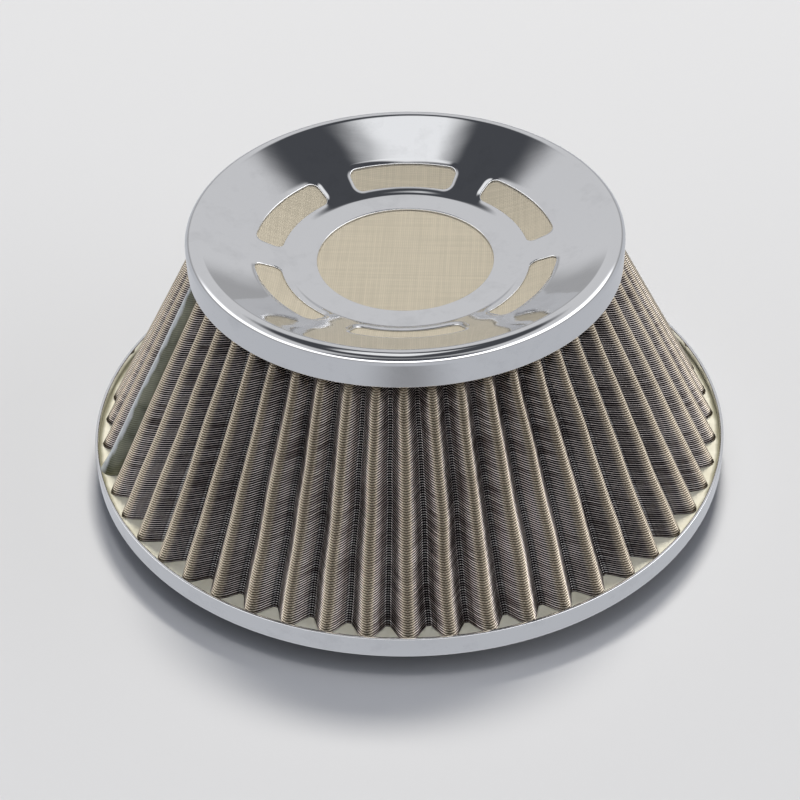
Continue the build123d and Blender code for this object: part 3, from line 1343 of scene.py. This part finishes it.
@dataclass
class TopCap:
    """Pressed cap: a dish with a round hole and a ring of arc windows, a rounded crown and a skirt."""

    crown_z: float
    floor_under_z: float
    cap_r: float = 65.7 * MM
    skirt_z: float = 77.8 * MM
    crown_sink: float = 0.06 * MM
    sheet: float = 0.8 * MM
    crown_bend: float = 3.0 * MM
    dish_edge_angle: float = math.radians(28.4)
    floor_r: float = 34.3 * MM
    dish_bend: float = 4.0 * MM
    hole_r: float = 26.6 * MM
    edge_roll: float = 0.35 * MM
    edge_round: float = 0.2 * MM
    window_count: int = 6
    first_window: float = math.radians(90)
    window_inner_r: float = 37.5 * MM
    window_outer_r: float = 45.5 * MM
    window_half_angle: float = math.radians(22.3)
    window_corner: float = 2.5 * MM
    droop: float = 0.22 * MM
    droop_w: float = 1.5 * MM
    droop_steps: int = 6
    bend_margin: float = 0.15 * MM
    across: int = 36
    along: int = 16
    sector_rows: int = 6
    under_rows: int = 3
    roll_steps: int = 4
    screen_r: float = 52.5 * MM
    screen_t: float = 0.5 * MM
    screen_rows: int = 6

    @property
    def cap_top(self) -> float:
        """Height of the crown, a little below the frame's."""
        return self.crown_z - self.crown_sink

    @property
    def floor_z(self) -> float:
        """Height of the dish's floor."""
        return self.floor_under_z + self.sheet

    @property
    def slopes(self) -> tuple[float, float]:
        """Rise of the dish for each unit of radius.

        Returns:
            Rise at the dish's floor and at the crown.
        """
        edge = math.tan(self.dish_edge_angle)
        corner_z = self.cap_top + self.crown_bend * (edge + 1 / math.cos(self.dish_edge_angle) - 1)
        return 2 * (corner_z - self.floor_z) / (self.cap_r - self.floor_r) - edge, edge

    def slope_z(self, r: float) -> float:
        """Find the height of the dish's slope.

        Args:
            r: Radius.

        Returns:
            Height of the slope's upper face.
        """
        foot, edge = self.slopes
        width = self.cap_r - self.floor_r
        share = (r - self.floor_r) / width
        return self.floor_z + width * (foot * share + (edge - foot) * share**2 / 2)

    def under(self, r: float, depth: float) -> Vector:
        """Go down from the dish's slope, square to it.

        Args:
            r: Radius on the slope.
            depth: Depth below it.

        Returns:
            Radius and height of the point there.
        """
        foot, edge = self.slopes
        tilt = math.atan(foot + (edge - foot) * (r - self.floor_r) / (self.cap_r - self.floor_r))
        return Vector((r + depth * math.sin(tilt), self.slope_z(r) - depth * math.cos(tilt)))

    @property
    def slope_ends(self) -> tuple[float, float]:
        """Radii between which the slope has no bend.

        Returns:
            Inner and outer radius.
        """
        foot_bend = self.dish_bend * math.tan(math.atan(self.slopes[0]) / 2)
        crown_bend = self.crown_bend * math.tan((math.pi / 2 + self.dish_edge_angle) / 2)
        return (
            self.floor_r + foot_bend + self.bend_margin,
            self.cap_r - crown_bend * math.cos(self.dish_edge_angle) - self.bend_margin,
        )

    def frame_loop(self) -> list[tuple[float, float]]:
        """Go round a square of side 2.

        Returns:
            As many points on each side as a sector has columns and rows.
        """
        across = [2 * step / self.across - 1 for step in range(self.across)]
        along = [2 * step / self.along - 1 for step in range(self.along)]
        return (
            [(x, -1.0) for x in across]
            + [(1.0, y) for y in along]
            + [(-x, 1.0) for x in across]
            + [(-1.0, -y) for y in along]
        )

    def sector_loop(self) -> list[Vector]:
        """Go round the edge of one sector of the slope.

        Returns:
            Points of angle and radius.
        """
        inner, outer = self.slope_ends
        half = math.pi / self.window_count
        return [Vector((x * half, inner + (outer - inner) * (y + 1) / 2)) for x, y in self.frame_loop()]

    def window_loop(self, grow: float) -> list[Vector]:
        """Go round a window.

        Args:
            grow: How far outside the window's edge the loop runs.

        Returns:
            Points of angle and radius that match those of the sector's edge one to one.
        """
        middle = (self.window_inner_r + self.window_outer_r) / 2
        half_length = self.window_half_angle * middle
        half_width = (self.window_outer_r - self.window_inner_r) / 2
        half = Vector((half_length + grow, half_width + grow))
        corner = self.window_corner + grow
        loop = []
        for x, y in self.frame_loop():
            spot = Vector((x * half.x, y * half.y))
            centre = Vector((math.copysign(half.x - corner, x), math.copysign(half.y - corner, y)))
            if abs(spot.x) > abs(centre.x) and abs(spot.y) > abs(centre.y):
                spot = centre + (spot - centre).normalized() * corner
            loop.append(Vector((spot.x / middle, middle + spot.y)))
        return loop

    def on_slope(self, loop: Sequence[Vector], depth: float) -> list[Vector]:
        """Lay a loop of angles and radii on the slope, at a depth below it."""
        return [around(*self.under(spot.y, depth), self.first_window + spot.x) for spot in loop]

    def sector(self) -> bpy.types.Mesh:
        """Draw one sector of the cap with its window.

        Returns:
            The sector's mesh.
        """
        draft = MeshDraft()
        edge = self.sector_loop()
        rows = [self.on_slope(self.window_loop(0.0), self.sheet)]
        for step in range(self.roll_steps + 1):
            turn = math.pi / 2 * step / self.roll_steps
            grow = self.edge_roll * (1 - math.cos(turn))
            depth = self.droop + self.edge_roll * (1 - math.sin(turn))
            rows.append(self.on_slope(self.window_loop(grow), depth))
        for step in range(1, self.droop_steps + 1):
            share = step / self.droop_steps
            rolled = self.window_loop(self.edge_roll + self.droop_w * share)
            rows.append(self.on_slope(rolled, self.droop * (1 - share) ** 2))
        for row in range(1, self.sector_rows + 1):
            share = row / self.sector_rows
            rows.append(self.on_slope([a.lerp(b, share) for a, b in zip(rolled, edge)], 0.0))
        draft.loft(rows, closed=True)
        rim = self.window_loop(0.0)
        under_rows = []
        for row in range(self.under_rows + 1):
            share = row / self.under_rows
            under_rows.append(self.on_slope([a.lerp(b, share) for a, b in zip(rim, edge)], self.sheet))
        draft.loft(under_rows, closed=True)

        half = math.pi / self.window_count
        turns = [self.first_window + half * (2 * step / self.across - 1) for step in range(self.across + 1)]
        for section in (self.hole_section(), self.skirt_section()):
            draft.loft([[around(*point, turn) for point in section] for turn in turns])
        return draft.mesh("cap_sector")

    def hole_section(self) -> list[Vector]:
        """Draw the cap from the slope across the floor to the hole, and back below.

        Returns:
            Points of radius and height along the section.
        """
        inner, _ = self.slope_ends
        below = self.floor_r + self.sheet * math.tan(math.atan(self.slopes[0]) / 2)
        return bent_path(
            [
                Corner(*self.under(inner, 0.0)),
                Corner(self.floor_r, self.floor_z, self.dish_bend),
                Corner(self.hole_r, self.floor_z, self.edge_roll),
                Corner(self.hole_r, self.floor_under_z, self.edge_round),
                Corner(below, self.floor_under_z, self.dish_bend + self.sheet),
                Corner(*self.under(inner, self.sheet)),
            ]
        )

    def skirt_section(self) -> list[Vector]:
        """Draw the cap from the slope over the crown and down the skirt, and back inside.

        Returns:
            Points of radius and height along the section.
        """
        _, outer = self.slope_ends
        inside_r = self.cap_r - self.sheet
        inside_z = self.slope_z(inside_r) - self.sheet / math.cos(self.dish_edge_angle)
        return bent_path(
            [
                Corner(*self.under(outer, 0.0)),
                Corner(self.cap_r, self.slope_z(self.cap_r), self.crown_bend),
                Corner(self.cap_r, self.skirt_z, self.edge_roll),
                Corner(inside_r, self.skirt_z, self.edge_round),
                Corner(inside_r, inside_z, self.crown_bend - self.sheet),
                Corner(*self.under(outer, self.sheet)),
            ]
        )

    def screen_section(self) -> list[Vector]:
        """Draw the screen, pressed against the dish's lower face.

        Returns:
            Points of radius and height along the section.
        """
        section = []
        inner, _ = self.slope_ends
        for depth, sense in ((self.sheet, 1), (self.sheet + self.screen_t, -1)):
            corner = self.floor_r + depth * math.tan(math.atan(self.slopes[0]) / 2)
            level = self.floor_z - depth
            floor = [
                Corner(0.0, level),
                Corner(corner, level, self.dish_bend + depth),
                Corner(*self.under(inner, depth)),
            ]
            face = bent_path(floor)
            for step in range(1, self.screen_rows + 1):
                face.append(self.under(inner + (self.screen_r - inner) * step / self.screen_rows, depth))
            section.extend(face[::sense])
        return section

    def build(self, chrome: bpy.types.Material, screen: bpy.types.Material) -> None:
        """Press the cap and the screen and dress them.

        Args:
            chrome: Finish of the cap.
            screen: Finish of the screen.
        """
        cap = new_piece("chromed_top_cap", self.sector())
        shape_by_nodes(cap, ring_pattern_tree(), {"Count": self.window_count, "Material": chrome})
        tidy_mesh(cap.data)
        even_normals(cap)
        settle(cap, Slot.CHROME, CadNode.TOP_CAP)

        disc = new_piece("cap_screen", lathe("cap_screen", self.screen_section(), closed=False), screen)
        even_normals(disc)
        settle(disc, Slot.FINE_SCREEN, CadNode.TOP_SCREEN)


# Studio

@dataclass(frozen=True)
class PalePaper:
    """Pale matt paper that fades into the backdrop. A mirror sees it as an even glow, with a painted shadow
    in front.
    """

    backdrop: str
    colour: str = "#D6D6D8"
    roughness: float = 0.8
    grain_size: float = 1000 / 3 * MM
    grain_height: float = 1 * MM
    mirrored_glow_colour: str = "#CACCD1"
    mirrored_shadow: str = "#A2A3A6"
    shadow_place: tuple[float, float, float] = (0.0, -0.168, 0.0)
    shadow_range: tuple[float, float] = (0.0, 0.07)
    backdrop_range: tuple[float, float] = (0.4, 1.1)

    def material(self) -> bpy.types.Material:
        """Build the material, which is clear from below.

        Returns:
            The material.
        """
        material, tree = new_material("pale_paper")
        place = add_node(tree, COORDINATES, out="Object")
        path = add_node(tree, "ShaderNodeLightPath", out=None)
        grain = add_node(tree, NOISE, place, sockets={"Scale": 1 / self.grain_size, "Detail": 2.0})
        bump = add_node(
            tree, BUMP, sockets={"Strength": 0.1, "Distance": self.grain_height, "Height": grain}
        )
        paper = add_node(
            tree,
            PRINCIPLED,
            sockets={"Base Color": linear(self.colour), "Roughness": self.roughness, "Normal": bump},
        )

        # What a mirror sees: the paper glows as painted light, with a painted shadow in front of the filter
        off_shadow = add_node(tree, VECTOR_MATH, place, self.shadow_place, out="Value", operation="DISTANCE")
        lit = add_node(tree, MAP_RANGE, off_shadow, *self.shadow_range, 0.0, 1.0, **EASED)
        seen = add_node(
            tree,
            MIX,
            lit,
            sockets={COLOUR_A: linear(self.mirrored_shadow), COLOUR_B: linear(self.mirrored_glow_colour)},
            **OF_COLOURS,
        )
        mirrored = add_node(tree, "ShaderNodeEmission", seen, 1.0)
        direct = add_node(tree, MATH, path["Diffuse Depth"], 0.5, operation="LESS_THAN")
        in_mirror = add_node(tree, MATH, path["Is Glossy Ray"], direct, operation="MULTIPLY")
        near = add_node(tree, MIX_SHADER, in_mirror, paper, mirrored)

        # What the camera sees far off, and from below
        from_axis = add_node(tree, VECTOR_MATH, place, out="Value", operation="LENGTH")
        far = add_node(tree, MAP_RANGE, from_axis, *self.backdrop_range, 0.0, 1.0, **EASED)
        far_off = add_node(tree, MATH, far, path["Is Camera Ray"], operation="MULTIPLY")
        backdrop = add_node(tree, "ShaderNodeEmission", linear(self.backdrop), 1.0)
        above = add_node(tree, MIX_SHADER, far_off, near, backdrop)
        below = add_node(tree, "ShaderNodeNewGeometry", out="Backfacing")
        clear = add_node(tree, "ShaderNodeBsdfTransparent")
        add_node(tree, "ShaderNodeOutputMaterial", add_node(tree, MIX_SHADER, below, above, clear))
        return material


@dataclass(frozen=True)
class Room:
    """Light of the room, which each kind of ray sees in its own way.

    A mirror sees pale walls that are dark overhead and behind the camera, with a bright band low on the
    camera's side. A matt surface sees scattered light that is stronger from above. The camera sees a plain
    backdrop.
    """

    backdrop: str
    wall_colour: str = "#F2F2F4"
    dark_colour: str = "#55575C"
    wall_light: float = 0.82
    low_light: float = 0.6
    ceiling_rise: tuple[float, float] = (math.radians(49), math.radians(60))
    front_turn: tuple[float, float] = (math.radians(62), math.radians(40))
    front_rise: float = math.radians(24)
    band_light: float = 2.7
    band_tilt: float = 0.4
    band_top: tuple[float, float] = (math.radians(36), math.radians(18))
    band_foot: tuple[float, float] = (math.radians(6), math.radians(16))
    band_back: tuple[float, float] = (0.6, 0.2)
    scattered_light: float = 0.4
    scattered_colour: str = "#DFE8F8"
    scattered_low: str = "#788293"
    scattered_rise: tuple[float, float] = (math.radians(42), math.radians(75))

    def mirrored(
        self, tree: bpy.types.NodeTree, way: bpy.types.bpy_prop_collection
    ) -> bpy.types.NodeSocket:
        """Paint what a mirror sees.

        Args:
            tree: Tree of the world.
            way: Parts of the direction that a ray takes.

        Returns:
            The painted walls.
        """
        # Dark overhead and behind the camera, but pale low down
        ceiling_rise = map(math.sin, self.ceiling_rise)
        overhead = add_node(tree, MAP_RANGE, way["Z"], *ceiling_rise, 0.0, 1.0, **EASED)
        front_turn = [-math.cos(turn) for turn in self.front_turn]
        in_front = add_node(tree, MAP_RANGE, way["Y"], *front_turn, 0.0, 1.0, **EASED)
        in_mirror = add_node(tree, "ShaderNodeLightPath", out="Is Glossy Ray")
        low = add_node(tree, MATH, way["Z"], math.sin(self.front_rise), operation="LESS_THAN")
        lit = add_node(tree, MATH, in_mirror, low, operation="MULTIPLY")
        unlit = add_node(tree, MATH, 1.0, lit, operation="SUBTRACT")
        front = add_node(tree, MATH, in_front, unlit, operation="MULTIPLY")
        dark = add_node(tree, MATH, overhead, front, operation="MAXIMUM")
        colour = add_node(
            tree,
            MIX,
            dark,
            sockets={COLOUR_A: linear(self.wall_colour), COLOUR_B: linear(self.dark_colour)},
            **OF_COLOURS,
        )

        # The band fades at its top, behind the filter and at its foot, and is brighter on the right
        band_top = map(math.sin, self.band_top)
        band = add_node(tree, MAP_RANGE, way["Z"], *band_top, 0.0, self.band_light, **EASED)
        ahead = add_node(tree, MAP_RANGE, way["Y"], *self.band_back, 0.0, 1.0, **EASED)
        band_foot = map(math.sin, self.band_foot)
        off_floor = add_node(tree, MAP_RANGE, way["Z"], *band_foot, 0.0, 1.0, **EASED)
        tilted = add_node(tree, MATH, way["X"], self.band_tilt, 1.0, operation="MULTIPLY_ADD")
        for share in (ahead, off_floor, tilted):
            band = add_node(tree, MATH, band, share, operation="MULTIPLY")
        dimmed = add_node(tree, MAP_RANGE, off_floor, 0.0, 1.0, self.low_light, 1.0)
        whole = add_node(tree, MATH, band, self.wall_light, operation="ADD")
        strength = add_node(tree, MATH, whole, dimmed, operation="MULTIPLY")
        return add_node(tree, "ShaderNodeBackground", colour, strength)

    def scattered(
        self, tree: bpy.types.NodeTree, way: bpy.types.bpy_prop_collection
    ) -> bpy.types.NodeSocket:
        """Light what is matt.

        Args:
            tree: Tree of the world.
            way: Parts of the direction that a ray takes.

        Returns:
            The scattered light.
        """
        scattered_rise = map(math.sin, self.scattered_rise)
        height = add_node(tree, MAP_RANGE, way["Z"], *scattered_rise, 0.0, 1.0, **EASED)
        colour = add_node(
            tree,
            MIX,
            height,
            sockets={COLOUR_A: linear(self.scattered_low), COLOUR_B: linear(self.scattered_colour)},
            **OF_COLOURS,
        )
        return add_node(tree, "ShaderNodeBackground", colour, self.scattered_light)

    def build(self) -> None:
        """Make the room the scene's world."""
        world = bpy.data.worlds.new("room")
        world.use_nodes = True
        tree = world.node_tree
        tree.nodes.clear()
        way = add_node(tree, SEPARATE, add_node(tree, COORDINATES, out="Generated"), out=None)
        path = add_node(tree, "ShaderNodeLightPath", out=None)
        mirrored = self.mirrored(tree, way)
        scattered = self.scattered(tree, way)
        light = add_node(tree, MIX_SHADER, path["Is Diffuse Ray"], mirrored, scattered)
        backdrop = add_node(tree, "ShaderNodeBackground", linear(self.backdrop), 1.0)
        seen = add_node(tree, MIX_SHADER, path["Is Camera Ray"], light, backdrop)
        add_node(tree, "ShaderNodeOutputWorld", seen)
        bpy.context.scene.world = world


@dataclass(frozen=True)
class SoftPanel:
    """Lamp panel that faces the filter and fades out at its edges."""

    name: str
    place: tuple[float, float, float]
    size: tuple[float, float]
    power: float
    colour: str = "#FFFFFF"
    in_mirrors: bool = False
    fade: float = 0.26

    def build(self) -> None:
        """Hang the panel."""
        lamp = bpy.data.lights.new(self.name, "AREA")
        lamp.shape = "RECTANGLE"
        lamp.size, lamp.size_y = self.size
        lamp.energy = self.power
        lamp.color = linear(self.colour)[:3]
        lamp.use_nodes = True
        tree = lamp.node_tree
        tree.nodes.clear()
        sides = add_node(tree, SEPARATE, add_node(tree, "ShaderNodeNewGeometry", out="Parametric"), out=None)
        fades = []
        for side in ("X", "Y"):
            middle = add_node(tree, MATH, sides[side], 0.5, operation="SUBTRACT")
            off = add_node(tree, MATH, middle, operation="ABSOLUTE")
            fades.append(add_node(tree, MAP_RANGE, off, 0.5, 0.5 - self.fade, 0.0, 1.0, **EASED))
        strength = add_node(tree, MATH, *fades, operation="MULTIPLY")
        glow = add_node(tree, "ShaderNodeEmission", sockets={"Strength": strength})
        add_node(tree, "ShaderNodeOutputLight", glow)
        panel = bpy.data.objects.new(self.name, lamp)
        panel.location = self.place
        panel.rotation_euler = Vector(self.place).to_track_quat("Z", "Y").to_euler()
        panel.visible_glossy = self.in_mirrors
        bpy.context.scene.collection.objects.link(panel)


@dataclass(frozen=True)
class PinholeCamera:
    """Camera at the photograph's angle, fitted to the filter's outlines, that aims near the rim's middle."""

    rim_z: float
    focal_px: float = 2100.0
    image_px: float = 800.0
    sensor: float = 36.0
    aim_right: float = 2.7779 * MM
    aim_up: float = -5.0031 * MM
    distance: float = 672.547 * MM
    elevation: float = 0.6798
    roll: float = 0.0239
    nearest: float = 10 * MM

    def build(self) -> None:
        """Set the camera."""
        level, rise = math.cos(self.elevation), math.sin(self.elevation)
        upright, tilt = math.cos(self.roll), math.sin(self.roll)
        right = Vector((upright, -tilt * rise, -tilt * level))
        up = Vector((tilt, upright * rise, upright * level))
        back = Vector((0.0, -level, rise))
        rim = Vector((0.0, 0.0, self.rim_z))
        place = rim - right * self.aim_right - up * self.aim_up + back * self.distance
        data = bpy.data.cameras.new("camera")
        data.sensor_width = self.sensor
        data.lens = self.sensor * self.focal_px / self.image_px
        data.clip_start = self.nearest
        camera = bpy.data.objects.new("camera", data)
        turn = Matrix((right, up, back)).transposed()
        camera.matrix_world = Matrix.Translation(place) @ turn.to_4x4()
        bpy.context.scene.collection.objects.link(camera)
        bpy.context.scene.camera = camera


@dataclass(frozen=True)
class Studio:
    """Floor of pale paper in a pale room, with three soft panels. A mirror sees only the overhead one."""

    rim_z: float
    backdrop: str = "#E0DFDF"
    floor_size: float = 8.0
    panels: tuple[SoftPanel, ...] = (
        SoftPanel("overhead_panel", (-0.06, 0.03, 1.1), (0.68, 0.52), 1.1, in_mirrors=True),
        SoftPanel("back_panel", (0.25, 1.65, 2.75), (1.2, 0.45), 148.0, colour="#FFFCF4"),
        SoftPanel("high_panel", (0.0, 0.0, 2.2), (0.35, 0.35), 11.5),
    )

    def build_floor(self) -> None:
        """Lay the floor."""
        half = self.floor_size / 2
        corners = [(-half, -half, 0), (half, -half, 0), (half, half, 0), (-half, half, 0)]
        mesh = bpy.data.meshes.new("floor")
        mesh.from_pydata(corners, [], [(0, 1, 2, 3)])
        material = PalePaper(self.backdrop).material()
        new_piece("floor", mesh, material)

    def build(self) -> None:
        """Build the floor, the light and the camera."""
        self.build_floor()
        Room(self.backdrop).build()
        for panel in self.panels:
            panel.build()
        PinholeCamera(self.rim_z).build()
        bpy.context.scene.view_settings.view_transform = "Standard"


def main() -> None:
    """Dress the frame, piece by piece, and set the studio round it."""
    logging.basicConfig(level=logging.INFO, format="%(message)s")
    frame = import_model()
    boxes = {node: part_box(node.value) for node in CadNode}

    chrome = ChromePlate().material()
    pan_low, pan_high = boxes[CadNode.BASE_PAN]
    pan = BasePan(base_r=min(pan_high.x, -pan_low.x), rim_z=pan_high.z)
    pan.build(chrome)

    resin = CastResin(rim_r=pan.inside_r).material()
    casting_low, casting_high = boxes[CadNode.BASE_RESIN]
    casting = BaseResin(outer_r=pan.inside_r, floor_z=casting_low.z, level=casting_high.z)
    casting.build(resin)

    mesh_low, mesh_high = boxes[CadNode.PLEATED_MESH]
    cone = PleatedCone(foot_z=mesh_low.z, head_z=mesh_high.z)
    wire = WovenWire(cone.weft_pitch, cone.warp_pitch, resin_place=cone.buried_length).material()
    cone.build(wire, SeamResin(cone.weft_pitch).material())

    cap_low, cap_high = boxes[CadNode.TOP_CAP]
    cap = TopCap(crown_z=cap_high.z, floor_under_z=cap_low.z)
    cap.build(chrome, FineScreen().material())

    hidden_resin = frame["nodes"][CadNode.TOP_RESIN.value]
    hidden_resin.data.materials.clear()
    hidden_resin.data.materials.append(resin)
    LOG.info("%s: kept from the frame", hidden_resin.name)

    Studio(rim_z=pan.rim_z).build()


if __name__ == "__main__":
    main()
